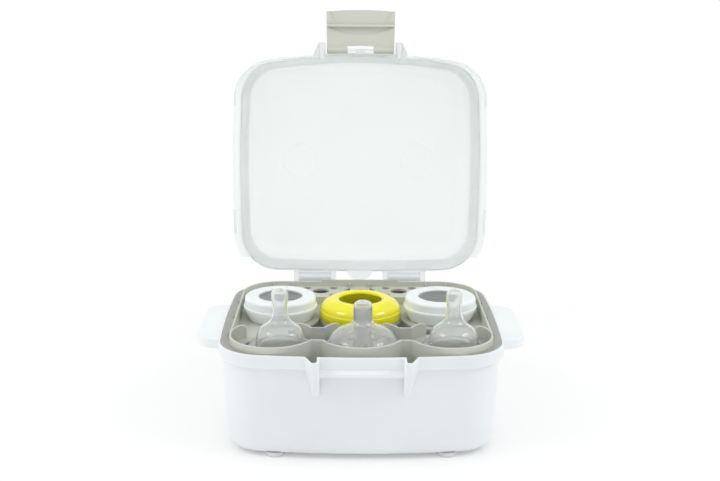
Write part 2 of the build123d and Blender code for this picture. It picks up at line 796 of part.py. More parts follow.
# Latch: a lever on the lid's bar, drawn pointing forward, with a hook under its free half
with BuildPart() as latch:
    with BuildSketch(lid_level(latch_axis_z - latch_inner)):
        with BuildLine():
            Polyline(
                (-latch_end_half_x, latch_axis_y - latch_length + latch_end_bow),
                (-latch_half_x, latch_axis_y - latch_barrel_r),
                (-latch_half_x, latch_axis_y + latch_heel),
                (latch_half_x, latch_axis_y + latch_heel),
                (latch_half_x, latch_axis_y - latch_barrel_r),
                (latch_end_half_x, latch_axis_y - latch_length + latch_end_bow),
            )
            ThreePointArc(
                (latch_end_half_x, latch_axis_y - latch_length + latch_end_bow),
                (0, latch_axis_y - latch_length),
                (-latch_end_half_x, latch_axis_y - latch_length + latch_end_bow),
            )
        make_face()
        window_mid = latch_axis_y + (latch_heel_start - latch_window_reach) / 2
        with Locations((0, window_mid)):
            Rectangle(2 * latch_barrel_inner_x, latch_heel_start + latch_window_reach, mode=Mode.SUBTRACT)
        with Locations((0, latch_axis_y + latch_heel)):
            Rectangle(2 * latch_heel_inner_x, 4 * latch_heel, mode=Mode.SUBTRACT)
    extrude(amount=latch_thickness)
    for side in (-1, 1):
        with BuildSketch(lid_section(side * (latch_barrel_inner_x + bar_half_x + latch_barrel_wall) / 2)):
            with Locations((-latch_axis_y, latch_axis_z)):
                Circle(latch_barrel_r)
        extrude(amount=(bar_half_x + latch_barrel_wall - latch_barrel_inner_x) / 2, both=True)
    with BuildSketch(lid_section()):
        with BuildLine():
            hook_x = -latch_axis_y + hook_place
            hook_top = latch_axis_z - latch_inner
            Polyline(
                (hook_x, hook_top + latch_thickness / 2),
                (hook_x, hook_top - hook_reach),
                (hook_x + hook_thickness / 2, hook_top - hook_reach),
                (hook_x + hook_thickness, hook_top - hook_reach / 2),
                (hook_x + hook_thickness, hook_top + latch_thickness / 2),
                close=True,
            )
        make_face()
    extrude(amount=latch_half_x - latch_boss_rise, both=True)
    with BuildSketch(lid_level(latch_axis_z - latch_inner)):
        with BuildLine():
            grip_y = latch_axis_y - hook_place - hook_thickness
            end_y = latch_axis_y - latch_length
            bow_x = grip_half_x + grip_bow
            bow_y = (grip_y + end_y) / 2
            Line((-grip_half_x, grip_y), (grip_half_x, grip_y))
            ThreePointArc((grip_half_x, grip_y), (bow_x, bow_y), (grip_end_half_x, end_y))
            Line((grip_end_half_x, end_y), (-grip_end_half_x, end_y))
            ThreePointArc((-grip_end_half_x, end_y), (-bow_x, bow_y), (-grip_half_x, grip_y))
        make_face()
    extrude(amount=grip_depth, mode=Mode.SUBTRACT)
    with BuildSketch(lid_level(latch_axis_z - latch_inner)):
        with BuildLine():
            hook_y = latch_axis_y - hook_place
            hollow_half = latch_half_x - latch_inner
            Line((-hollow_half, hook_y), (hollow_half, hook_y))
            ThreePointArc((hollow_half, hook_y), (0, hook_y + hollow_sagitta), (-hollow_half, hook_y))
        make_face()
    extrude(amount=hollow_depth, mode=Mode.SUBTRACT)
    with BuildSketch(lid_level(latch_axis_z - latch_inner)):
        boss_x = latch_half_x - latch_boss_r - latch_boss_margin
        boss_y = grip_y - latch_boss_r - latch_boss_margin
        with Locations((-boss_x, boss_y), (boss_x, boss_y)):
            Circle(latch_boss_r)
            Circle(latch_boss_hole_r, mode=Mode.SUBTRACT)
    extrude(amount=-latch_boss_rise)
    with BuildSketch(lid_section()):
        with Locations((-latch_axis_y, latch_axis_z)):
            Circle(bar_r + bar_gap)
    extrude(amount=bar_half_x + bar_gap + hinge_side_gap, both=True, mode=Mode.SUBTRACT)
latch.part.label = "latch"
export_step(latch.part, "parts/latch.step")


def lathe(points, x, y, z, curved=()):
    """A round piece on an upright axis, from its half profile as radius and height pairs."""
    with BuildPart() as form:
        with BuildSketch(upright(x, y, z)):
            with BuildLine():
                Polyline(*points)
                if curved:
                    Spline(*curved)
                else:
                    Line(points[-1], points[0])
            make_face()
        revolve(axis=Axis((x, tub_y + y, z), (0, 0, 1)))
    return form.part


stand_z = deck_z + seat_gap

# White screw rings: a skirt that widens to a ridge, a shoulder and a rounded open top
ring_outer = [
    (ring_foot_r, 0),
    (ring_ridge_r, ring_ridge_z),
    (ring_ridge_r, ring_ridge_z + 1.6),
    (ring_shoulder_r, ring_ridge_z + 2.6),
    (ring_shoulder_r, ring_height - ring_top_round),
    (ring_shoulder_r - 1.2, ring_height - ring_top_round * 0.3),
    (ring_shoulder_r - ring_top_round, ring_height),
    (ring_hole_r + 0.8, ring_height),
    (ring_hole_r, ring_height - 0.8),
    (ring_hole_r, ring_height - ring_wall),
    (ring_shoulder_r - ring_wall - 1.0, ring_height - ring_wall),
    (ring_shoulder_r - ring_wall, ring_height - ring_wall - 1.0),
    (ring_foot_r - ring_wall, ring_ridge_z),
    (ring_foot_r - ring_wall, 0),
]
for ring_name, side in (("ring_left", -1), ("ring_right", 1)):
    ring = lathe(ring_outer, side * ring_x, ring_y, stand_z)
    ring.label = ring_name
    export_step(ring, f"parts/{ring_name}.step")

# Wide middle ring: a straight skirt under a dome
wide_outer = [
    (wide_ring_r, 0),
    (wide_ring_r, wide_ring_skirt),
    (wide_ring_r - 0.9, wide_ring_skirt + 3.6),
    (wide_ring_r - 3.2, wide_ring_skirt + 6.8),
    (wide_ring_r - 6.8, wide_ring_height - 1.0),
    (wide_ring_r - 11.0, wide_ring_height),
    (wide_ring_hole_r + 2.0, wide_ring_height - 0.4),
    (wide_ring_hole_r, wide_ring_height - 1.8),
    (wide_ring_hole_r, wide_ring_height - 1.0 - ring_wall),
    (wide_ring_r - 8.0 - ring_wall / 2, wide_ring_height - 1.0 - ring_wall),
    (wide_ring_r - 3.4 - ring_wall, wide_ring_skirt + 4.0),
    (wide_ring_r - ring_wall, wide_ring_skirt),
    (wide_ring_r - ring_wall, 0),
]
wide_ring = lathe(wide_outer, 0, wide_ring_y, stand_z)
wide_ring.label = "ring_middle"
export_step(wide_ring, "parts/ring_middle.step")


def teat(flange_r, dome_r, neck_r, tip_r, height, x):
    """A soft teat: a flange, a dome and a nipple with a rounded tip, open below."""
    tip_z = height - tip_r
    outer = (
        (dome_r, teat_flange_thickness),
        (dome_r * 0.93, height * 0.22),
        (dome_r * 0.62, height * 0.40),
        (neck_r + 1.0, height * 0.56),
        (neck_r, height * 0.68),
        (tip_r, tip_z),
    )
    inner = [(r - teat_wall, z) for r, z in outer]
    core_r = tip_r - teat_wall
    diagonal = sqrt(0.5)
    with BuildPart() as form:
        with BuildSketch(upright(x, front_pocket_y, stand_z)):
            with BuildLine():
                Polyline((dome_r - teat_wall, 0), (flange_r, 0), (flange_r, teat_flange_thickness), outer[0])
                Spline(*outer, tangents=((0, 1), (0, 1)))
                ThreePointArc(outer[-1], (tip_r * diagonal, tip_z + tip_r * diagonal), (0, height))
                Line((0, height), (0, tip_z + core_r))
                ThreePointArc((0, tip_z + core_r), (core_r * diagonal, tip_z + core_r * diagonal), inner[-1])
                Spline(*reversed(inner), tangents=((0, -1), (0, -1)))
                Line(inner[0], (dome_r - teat_wall, 0))
            make_face()
        revolve(axis=Axis((x, tub_y + front_pocket_y, 0), (0, 0, 1)))
    return form.part


for teat_name, teat_x in (("teat_left", teat_left_x), ("teat_right", teat_right_x)):
    small_teat = teat(teat_flange_r, teat_dome_r, teat_neck_r, teat_tip_r, teat_height, teat_x)
    small_teat.label = teat_name
    export_step(small_teat, f"parts/{teat_name}.step")
wide_teat = teat(
    wide_teat_r, wide_teat_dome_r, wide_teat_neck_r, wide_teat_tip_r, wide_teat_height, wide_teat_x
)
wide_teat.label = "teat_middle"
export_step(wide_teat, "parts/teat_middle.step")

# Vent insert: a holed disc in the wide teat's mouth with a hollow post
with BuildPart() as vent:
    with BuildSketch(Plane((wide_teat_x, tub_y + front_pocket_y, stand_z))):
        Circle(wide_teat_dome_r - teat_wall - teat_base_play)
        with PolarLocations(vent_hole_ring_r, vent_hole_count):
            Circle(vent_hole_r, mode=Mode.SUBTRACT)
    extrude(amount=vent_disc)
    with BuildSketch(Plane((wide_teat_x, tub_y + front_pocket_y, stand_z))):
        Circle(vent_r)
    extrude(amount=vent_height, taper=vent_taper)
    with BuildSketch(Plane((wide_teat_x, tub_y + front_pocket_y, stand_z))):
        Circle(vent_r - vent_disc)
    extrude(amount=vent_height - vent_disc, taper=vent_taper, mode=Mode.SUBTRACT)
vent.part.label = "vent_insert"
export_step(vent.part, "parts/vent_insert.step")
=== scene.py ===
from math import cos, exp, hypot, pi, radians, sin

import bpy
from mathutils import Matrix, Vector


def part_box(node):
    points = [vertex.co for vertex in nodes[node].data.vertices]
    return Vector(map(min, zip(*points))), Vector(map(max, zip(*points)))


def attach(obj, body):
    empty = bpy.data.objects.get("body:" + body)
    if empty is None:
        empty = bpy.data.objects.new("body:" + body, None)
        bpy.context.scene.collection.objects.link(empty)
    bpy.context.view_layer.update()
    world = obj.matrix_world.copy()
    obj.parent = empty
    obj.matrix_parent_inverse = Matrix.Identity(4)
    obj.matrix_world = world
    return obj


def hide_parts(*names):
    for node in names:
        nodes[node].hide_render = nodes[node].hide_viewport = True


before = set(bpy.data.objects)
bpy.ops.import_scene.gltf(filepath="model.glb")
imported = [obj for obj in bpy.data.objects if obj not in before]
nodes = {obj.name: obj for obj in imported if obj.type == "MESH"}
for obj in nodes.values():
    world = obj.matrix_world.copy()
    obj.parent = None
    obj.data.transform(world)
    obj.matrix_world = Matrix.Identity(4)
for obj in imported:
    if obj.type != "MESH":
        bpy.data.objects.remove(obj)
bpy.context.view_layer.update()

mm = 0.001

# The photograph's camera, found from the object's edges
photo_width = 720
focal_pixels = 1100
sensor_width = 36.0
camera_place = Vector((-0.0109, -0.9749, 0.3954))
camera_down = radians(13.96)
camera_turn = radians(-0.61)
camera_roll = radians(0.36)
camera_near = 0.01

# Colours are linear values
white = (1, 1, 1, 1)
tub_color = (0.81, 0.85, 0.865)
foot_color = (0.72, 0.73, 0.72)
# The rack is one grey plastic in two colours: its flange, whose top faces the light, is painted darker as
# painted shade, and its walls lighter
rack_color = (0.56, 0.57, 0.51)
rack_flange_shaded_color = (0.33, 0.34, 0.305)
# Painted highlight: a lighter colour along rounded edges, where they would catch the lamps
painted_edge_highlight_color = (0.92, 0.93, 0.90)
lid_color = (0.93, 0.968, 0.96)
latch_color = (0.59, 0.60, 0.535)
white_ring_color = (0.87, 0.93, 0.92)
yellow_ring_color = (0.97, 0.88, 0.006)
silicone_color = (0.98, 0.995, 0.985)
vent_post_color = (0.50, 0.53, 0.50)
vent_cap_color = (0.86, 0.88, 0.86)
floor_color = (0.97, 0.97, 0.97)

# Noise in object space that varies colour and gloss, and the range of its values that is used
noise_low, noise_high = 0.3, 0.7
drift_detail, drift_roughness = 3.0, 0.55
plastic_drift, clear_drift, vent_drift = 14.0, 10.0, 20.0
clear_spread, vent_spread = 0.015, 0.03
smear_scale, smear_detail, smear_roughness = 35.0, 4.0, 0.6
smear_smoother, smear_rougher = 0.04, 0.05

# Moulded grain; depths are in metres
grain_detail, grain_roughness = 2.0, 0.6
grain_depth = 0.0002
clear_grain, clear_grain_strength = 700.0, 0.02
mark_strength, mark_depth = 0.8, 0.0006

# Edges count as turned where the rounded normal leaves the flat one
edge_radius = 0.8 * mm
edge_samples = 4
edge_turned, edge_flat = 0.72, 0.985

# Shader values of every plastic that isn't clear
plastic_index = 1.49
coat_roughness = 0.1
subsurface_radius = (0.006, 0.006, 0.005)

# Two faint moulded rings on the hood's top panel, in metres
panel_ring_x = 0.0605
panel_ring_z = 0.202
panel_ring_r = 0.017
panel_ring_width = 0.003

# The vent insert's pale cap
vent_cap_height = 1.8 * mm
vent_cap_blend = 0.2 * mm
vent_roughness = 0.25
vent_transmission = 0.3

# Steps round every revolved piece
turn_steps = 240

# Teats: radius and height in millimetres from the face that they stand on
silicone_wall = 1.2
teat_hole_r = 0.4
flange_thickness = 2.6
flange_tooth_count = 60
flange_tooth_depth = 0.3
flange_bevel = 0.5
tooth_width = 0.6
tooth_reach = 2.4
inner_start = 2.0
small_dome = [
    (22.2, 2.6), (20.7, 3.2), (20.0, 5.0), (20.3, 8.0), (19.3, 13.0), (16.5, 17.5), (12.0, 21.0),
    (9.0, 24.0), (7.2, 28.0), (6.4, 32.0), (6.4, 37.0), (7.0, 42.0), (7.2, 45.5), (6.3, 48.7),
    (3.6, 50.5), (teat_hole_r, 50.9),
]
small_rib_low, small_rib_high = 12.0, 36.0
small_rib_width = 0.42
small_rib_height = 0.38
small_rib_slant = radians(24)
small_rib_fade = 6
small_rib_top_r, small_rib_r_gain = 6.4, 13
wide_dome = [
    (30.6, 2.6), (29.6, 3.4), (28.8, 7.0), (26.0, 11.5), (21.0, 15.5), (15.0, 18.2), (11.0, 20.4),
    (8.9, 22.8), (7.8, 24.6),
]
wide_tip = [(7.8, 34.0), (8.0, 35.8), (7.4, 38.3), (5.2, 40.3), (2.4, 40.9), (teat_hole_r, 41.0)]
wide_neck_r = 7.35
wide_rib_low, wide_rib_high = 24.9, 33.6
wide_rib_count = 6
wide_rib_rows = 8
wide_rib_height = 0.75

# Screw rings: radius and height in millimetres, from the foot over the top and down inside
thread_pitch = 2.8
thread_depth = 1.0
thread_start, thread_top = 0.6, 9.2
thread_row = 0.35
white_foot = [(28.0, 0.0), (29.0, 0.0)]
white_skirt = [(29.4, 0.4), (30.7, 3.0), (32.0, 6.0), (32.9, 8.6), (33.3, 10.2)]
white_ridge = [(33.3, 11.5), (33.2, 11.9), (32.9, 12.1), (32.2, 12.3), (32.1, 12.6), (32.1, 17.4)]
white_shoulder = [(32.05, 17.9), (31.6, 19.1), (30.6, 20.0), (29.2, 20.35), (27.5, 20.4)]
white_lip = [(21.4, 20.4), (20.5, 20.2), (19.9, 19.7), (19.7, 19.0)]
white_inside = [
    (19.7, 18.4), (19.9, 18.2), (28.6, 18.2), (29.4, 17.8), (29.8, 17.0), (28.0, 11.2), (27.6, 10.2),
]
white_thread_r = 27.6
yellow_foot = [(35.2, 0.0), (36.2, 0.0)]
yellow_skirt = [(36.6, 0.1), (37.0, 0.6), (37.0, 8.0), (36.9, 8.3), (36.4, 8.45), (36.2, 8.8)]
yellow_dome = [(36.1, 9.4), (35.3, 11.8), (33.0, 14.6), (29.4, 16.8), (25.4, 18.2), (22.2, 18.5)]
yellow_lip = [(21.0, 18.35), (20.0, 17.8), (19.4, 17.0), (19.3, 16.2)]
yellow_inside = [
    (19.4, 15.6), (19.9, 15.4), (26.4, 15.2), (30.4, 13.4), (33.2, 10.8), (34.6, 9.3), (34.8, 9.2),
]
yellow_thread_r = 34.8

# Floor: the object's shadow shows inside the near radius and fades to white at the far one
floor_half = 6.0
floor_roughness = 0.6
near_radius, far_radius = 0.15, 0.6
near_share, far_share = 0.3, 1.0

# World light by the direction's Y, weaker from the front
front_light, round_light = 0.76, 0.93
front_y, round_y = -0.95, 0.1

# Two softboxes, mirrored left and right
softbox_aside, softbox_y, softbox_z = 0.95, -0.35, 0.95
softbox_target = (0, 0, 0.1)
softbox_size = (0.55, 0.36)
softbox_power = 3.1


def new_material(name):
    """A material with a Principled shader, and its nodes and links."""
    material = bpy.data.materials.new(name)
    material.use_nodes = True
    tree = material.node_tree
    return material, tree.nodes, tree.links, tree.nodes["Principled BSDF"]


def node(nodes_of, kind, **values):
    """Adds a shader node and sets its inputs by name."""
    made = nodes_of.new(kind)
    for key, value in values.items():
        made.inputs[key.replace("_", " ")].default_value = value
    return made


def math_node(nodes_of, links, operation, first, second=None):
    """Adds a Math node on a socket and, where it takes two, a socket or number."""
    made = nodes_of.new("ShaderNodeMath")
    made.operation = operation
    for k, value in enumerate((first, second)):
        if value is None:
            continue
        if isinstance(value, (int, float)):
            made.inputs[k].default_value = value
        else:
            links.new(value, made.inputs[k])
    return made.outputs[0]


def map_range(nodes_of, links, value, low, high, to_low, to_high):
    """Maps a socket's range to another one, easing in and out."""
    made = nodes_of.new("ShaderNodeMapRange")
    made.interpolation_type = "SMOOTHSTEP"
    made.inputs["From Min"].default_value = low
    made.inputs["From Max"].default_value = high
    made.inputs["To Min"].default_value = to_low
    made.inputs["To Max"].default_value = to_high
    links.new(value, made.inputs["Value"])
    return made.outputs["Result"]


def parts_of(nodes_of, links, vector):
    """The X, Y and Z of a vector socket."""
    parts = nodes_of.new("ShaderNodeSeparateXYZ")
    links.new(vector, parts.inputs[0])
    return parts.outputs


def mixed_color(nodes_of, links, share, first, second):
    """A colour socket mixed with a fixed colour by a share."""
    mix = nodes_of.new("ShaderNodeMix")
    mix.data_type = "RGBA"
    links.new(share, mix.inputs["Factor"])
    colors = [socket for socket in mix.inputs if socket.type == "RGBA"]
    links.new(first, colors[0])
    colors[1].default_value = (*second, 1)
    return [socket for socket in mix.outputs if socket.type == "RGBA"][0]


def mottled(nodes_of, links, color, spread, scale):
    """A colour that drifts a little over the surface, and the object coordinates it drifts by."""
    place = nodes_of.new("ShaderNodeTexCoord")
    noise = node(
        nodes_of, "ShaderNodeTexNoise", Scale=scale, Detail=drift_detail, Roughness=drift_roughness
    )
    links.new(place.outputs["Object"], noise.inputs["Vector"])
    ramp = nodes_of.new("ShaderNodeValToRGB")
    dark, light = ramp.color_ramp.elements
    dark.position = noise_low
    light.position = noise_high
    dark.color = (*[c * (1 - spread) for c in color], 1)
    light.color = (*[min(1.0, c * (1 + spread)) for c in color], 1)
    links.new(noise.outputs["Fac"], ramp.inputs["Fac"])
    return ramp.outputs["Color"], place.outputs["Object"]


def moulded_grain(nodes_of, links, coordinates, scale):
    """The height of the fine spark-eroded grain of a moulded face."""
    grain = node(
        nodes_of, "ShaderNodeTexNoise", Scale=scale, Detail=grain_detail, Roughness=grain_roughness
    )
    links.new(coordinates, grain.inputs["Vector"])
    return grain.outputs["Fac"]


def bumped(nodes_of, links, height, strength, depth, under=None):
    """A normal bent by a height, over another normal where one is given."""
    bump = node(nodes_of, "ShaderNodeBump", Strength=strength, Distance=depth)
    links.new(height, bump.inputs["Height"])
    if under is not None:
        links.new(under, bump.inputs["Normal"])
    return bump.outputs["Normal"]


def worn_gloss(nodes_of, links, shader, coordinates, roughness):
    """Roughness that drifts in soft smears, as on a washed and handled surface."""
    smear = node(
        nodes_of, "ShaderNodeTexNoise", Scale=smear_scale, Detail=smear_detail, Roughness=smear_roughness
    )
    links.new(coordinates, smear.inputs["Vector"])
    smooth, rough = roughness - smear_smoother, roughness + smear_rougher
    span = map_range(nodes_of, links, smear.outputs["Fac"], noise_low, noise_high, smooth, rough)
    links.new(span, shader.inputs["Roughness"])


def edge_highlight_tint(nodes_of, links, tint, amount):
    """Lightens the colour in a narrow line along the edges: a painted highlight, where rounded edges would
    catch the lamps.
    """
    soft = nodes_of.new("ShaderNodeBevel")
    soft.samples = edge_samples
    soft.inputs["Radius"].default_value = edge_radius
    geometry = nodes_of.new("ShaderNodeNewGeometry")
    turn = nodes_of.new("ShaderNodeVectorMath")
    turn.operation = "DOT_PRODUCT"
    links.new(soft.outputs["Normal"], turn.inputs[0])
    links.new(geometry.outputs["Normal"], turn.inputs[1])
    share = map_range(nodes_of, links, turn.outputs["Value"], edge_turned, edge_flat, amount, 0.0)
    return mixed_color(nodes_of, links, share, tint, painted_edge_highlight_color)


def plastic(
    name, color, roughness,
    spread=0.02, grain=900.0, grain_strength=0.12, subsurface=0.0, coat=0.0, edge_highlight_amount=0.0
):
    """Moulded plastic: soft colour drift, fine grain and a gloss that drifts too."""
    material, nodes_of, links, shader = new_material(name)
    tint, coordinates = mottled(nodes_of, links, color, spread, plastic_drift)
    # A painted highlight along the edges, where one is asked for
    if edge_highlight_amount:
        tint = edge_highlight_tint(nodes_of, links, tint, edge_highlight_amount)
    links.new(tint, shader.inputs["Base Color"])
    height = moulded_grain(nodes_of, links, coordinates, grain)
    links.new(bumped(nodes_of, links, height, grain_strength, grain_depth), shader.inputs["Normal"])
    worn_gloss(nodes_of, links, shader, coordinates, roughness)
    shader.inputs["Subsurface Weight"].default_value = subsurface
    shader.inputs["Subsurface Radius"].default_value = subsurface_radius
    shader.inputs["Subsurface Scale"].default_value = 1.0
    shader.inputs["Coat Weight"].default_value = coat
    shader.inputs["Coat Roughness"].default_value = coat_roughness
    shader.inputs["IOR"].default_value = plastic_index
    return material


def clear_plastic(name, color, roughness, transmission, index, with_rings=False):
    """See-through plastic or silicone with a faint haze that varies."""
    material, nodes_of, links, shader = new_material(name)
    tint, coordinates = mottled(nodes_of, links, color, clear_spread, clear_drift)
    links.new(tint, shader.inputs["Base Color"])
    grain = moulded_grain(nodes_of, links, coordinates, clear_grain)
    normal = bumped(nodes_of, links, grain, clear_grain_strength, grain_depth)
    if with_rings:
        rings = panel_rings(nodes_of, links, coordinates)
        normal = bumped(nodes_of, links, rings, mark_strength, mark_depth, normal)
    links.new(normal, shader.inputs["Normal"])
    worn_gloss(nodes_of, links, shader, coordinates, roughness)
    shader.inputs["Transmission Weight"].default_value = transmission
    shader.inputs["IOR"].default_value = index
    return material


def panel_rings(nodes_of, links, coordinates):
    """The height of the two round moulding marks on the hood's top panel."""
    parts = parts_of(nodes_of, links, coordinates)
    aside = math_node(nodes_of, links, "ABSOLUTE", parts["X"])
    across = math_node(nodes_of, links, "SUBTRACT", aside, panel_ring_x)
    up = math_node(nodes_of, links, "SUBTRACT", parts["Z"], panel_ring_z)
    across_2 = math_node(nodes_of, links, "MULTIPLY", across, across)
    up_2 = math_node(nodes_of, links, "MULTIPLY", up, up)
    away_2 = math_node(nodes_of, links, "ADD", across_2, up_2)
    away = math_node(nodes_of, links, "SQRT", away_2)
    off_ring = math_node(nodes_of, links, "SUBTRACT", away, panel_ring_r)
    gap = math_node(nodes_of, links, "ABSOLUTE", off_ring)
    return map_range(nodes_of, links, gap, 0.0, panel_ring_width, 1.0, 0.0)


def vent_plastic(name):
    """The vent insert: a grey post under a pale cap."""
    material, nodes_of, links, shader = new_material(name)
    tint, coordinates = mottled(nodes_of, links, vent_post_color, vent_spread, vent_drift)
    up = parts_of(nodes_of, links, coordinates)["Z"]
    cap_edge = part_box("vent_insert")[1][2] - vent_cap_height
    share = map_range(nodes_of, links, up, cap_edge - vent_cap_blend, cap_edge, 0.0, 1.0)
    mixed = mixed_color(nodes_of, links, share, tint, vent_cap_color)
    links.new(mixed, shader.inputs["Base Color"])
    worn_gloss(nodes_of, links, shader, coordinates, vent_roughness)
    shader.inputs["Transmission Weight"].default_value = vent_transmission
    return material


def dress(start, material):
    """Gives its material to every CAD node whose name starts so, over one given before."""
    for name in nodes:
        if name.startswith(start):
            mesh = nodes[name].data
            mesh.materials.clear()
            mesh.materials.append(material)


def curve_value(a, b, c, d, t):
    """One coordinate of a Catmull-Rom curve between b and c."""
    line = (c - a) * t
    square = (2 * a - 5 * b + 4 * c - d) * t ** 2
    cube = (3 * b - a - 3 * c + d) * t ** 3
    return 0.5 * (2 * b + line + square + cube)


def soft_line(points, steps=6):
    """Points of a Catmull-Rom curve through the given ones."""
    made = []
    for k in range(len(points) - 1):
        before = points[max(k - 1, 0)]
        after = points[min(k + 2, len(points) - 1)]
        for step in range(steps):
            t = step / steps
            corners = zip(before, points[k], points[k + 1], after)
            made.append(tuple(curve_value(a, b, c, d, t) for a, b, c, d in corners))
    made.append(points[-1])
    return made


def inside_line(line, wall):
    """The line moved in by a wall, towards the axis and down from the tip."""
    made = []
    for k, (r, z) in enumerate(line):
        r0, z0 = line[max(k - 1, 0)]
        r1, z1 = line[min(k + 1, len(line) - 1)]
        run = hypot(r1 - r0, z1 - z0)
        made.append((max(r - wall * (z1 - z0) / run, teat_hole_r), z + wall * (r1 - r0) / run))
    return made


def ribbed_neck():
    """The wide teat's neck: ring-shaped ribs that keep it from folding."""
    steps = wide_rib_count * wide_rib_rows
    made = []
    for k in range(steps + 1):
        share = k / steps
        wave = (1 - cos(2 * pi * wide_rib_count * share)) / 2
        height = wide_rib_low + (wide_rib_high - wide_rib_low) * share
        made.append((wide_neck_r + wide_rib_height * wave, height))
    return made


def plain(angle, z):
    """No relief on this row."""
    return 0.0, 0.0


def slanted_rib(angle, z):
    """The narrow rib that runs slantwise down the front of a small teat."""
    if not small_rib_low <= z <= small_rib_high:
        return 0.0, 0.0
    share = (small_rib_high - z) / (small_rib_high - small_rib_low)
    middle = -pi / 2 - small_rib_slant * share
    away = (angle - middle + pi) % (2 * pi) - pi
    fade = min(1.0, small_rib_fade * share, small_rib_fade * (1 - share))
    width = small_rib_width / (small_rib_top_r + small_rib_r_gain * share)
    return small_rib_height * fade * exp(-((away / width) ** 2)), 0.0


def flange_teeth(angle, z):
    """The fine teeth round the top of a teat's flange."""
    return 0.0, -flange_tooth_depth * (0.5 + 0.5 * cos(flange_tooth_count * angle))


def screw_thread(angle, z):
    """A ring's inner thread, which fades out at both ends of the skirt."""
    fade = min(1.0, max(0.0, z - thread_start), max(0.0, thread_top - z))
    crest = 0.5 + 0.5 * cos(2 * pi * z / thread_pitch - angle)
    return -thread_depth * fade * crest ** 3, 0.0


def rows_of(points, relief=plain):
    """Rows of an outline, all with one relief."""
    return [(r, z, relief) for r, z in points]


def thread_wall(r):
    """The rows of a ring's threaded inside, from the thread's top down."""
    steps = int(thread_top / thread_row)
    return rows_of([(r, thread_top - thread_row * k) for k in range(steps)], screw_thread)


def revolved(name, stands_for, body, material, outline):
    """A closed outline with relief, turned round the middle of the CAD node that it replaces."""
    low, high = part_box(stands_for)
    middle_x = (low[0] + high[0]) / 2
    middle_y = (low[1] + high[1]) / 2
    verts = []
    for r, z, relief in outline:
        for step in range(turn_steps):
            angle = 2 * pi * step / turn_steps
            out, up = relief(angle, z)
            reach = (r + out) * mm
            across = middle_x + reach * cos(angle)
            deep = middle_y + reach * sin(angle)
            verts.append((across, deep, low[2] + (z + up) * mm))
    faces = []
    rows = len(outline)
    for row in range(rows):
        here = row * turn_steps
        there = (row + 1) % rows * turn_steps
        for step in range(turn_steps):
            beside = (step + 1) % turn_steps
            faces.append((here + step, here + beside, there + beside, there + step))
    mesh = bpy.data.meshes.new(name)
    mesh.from_pydata(verts, [], faces)
    mesh.update()
    mesh.polygons.foreach_set("use_smooth", [True] * len(mesh.polygons))
    piece = bpy.data.objects.new(name, mesh)
    bpy.context.scene.collection.objects.link(piece)
    mesh.materials.append(material)
    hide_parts(stands_for)
    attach(piece, body)


def teat(side, outer, rib):
    """A thin silicone shell: a toothed flange, a dome and a nipple with a fine hole, open below."""
    low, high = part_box("teat_" + side)
    flange_r = (high[0] - low[0]) / 2 / mm
    above_flange = [point for point in outer if point[1] > flange_thickness + inner_start]
    inner = inside_line(above_flange, silicone_wall)
    foot = [(inner[0][0], 0.0), (flange_r - flange_bevel, 0.0), (flange_r, flange_bevel)]
    toothed = [(flange_r, flange_thickness - tooth_width), (flange_r - tooth_width, flange_thickness)]
    outline = rows_of(foot)
    outline += rows_of(toothed, flange_teeth)
    outline += rows_of([(flange_r - tooth_reach, flange_thickness)])
    outline += rows_of(outer, rib)
    outline += rows_of(inner[::-1])
    revolved(side + "_teat_silicone", "teat_" + side, side + "_teat", silicone, outline)


def screw_ring(side, material, foot, outer, inside, thread_r):
    """A screw ring with a rounded open top and a threaded inside."""
    outline = rows_of(foot + outer + inside) + thread_wall(thread_r)
    revolved("ring_plastic_" + side, "ring_" + side, side + "_ring", material, outline)


def white_ring(side):
    """A common ring: a skirt that swells to a ridge, with a neck above it."""
    outer = soft_line(white_skirt, steps=5) + white_ridge
    outer += soft_line(white_shoulder, steps=5) + soft_line(white_lip, steps=4)
    screw_ring(side, white_ring_plastic, white_foot, outer, white_inside, white_thread_r)


def yellow_ring():
    """The wide ring: a straight skirt, a fine crease and a round dome with a wide hole."""
    outer = yellow_skirt + soft_line(yellow_dome, steps=7) + soft_line(yellow_lip, steps=4)
    screw_ring(
        "middle", yellow_ring_plastic, yellow_foot, outer, yellow_inside, yellow_thread_r
    )


def seen_share(nodes_of, links):
    """One for rays from the camera, in gloss and through clear pieces, and zero for the rest."""
    rays = nodes_of.new("ShaderNodeLightPath").outputs
    either = math_node(nodes_of, links, "MAXIMUM", rays["Is Camera Ray"], rays["Is Glossy Ray"])
    return math_node(nodes_of, links, "MAXIMUM", either, rays["Is Transmission Ray"])


def seen_white(nodes_of, links, lit_shader, share):
    """Mixes white of strength 1 over a lit shader by a share."""
    glow = nodes_of.new("ShaderNodeEmission")
    glow.inputs["Color"].default_value = white
    glow.inputs["Strength"].default_value = 1.0
    mix = nodes_of.new("ShaderNodeMixShader")
    links.new(share, mix.inputs["Fac"])
    links.new(lit_shader, mix.inputs[1])
    links.new(glow.outputs[0], mix.inputs[2])
    return mix.outputs[0]


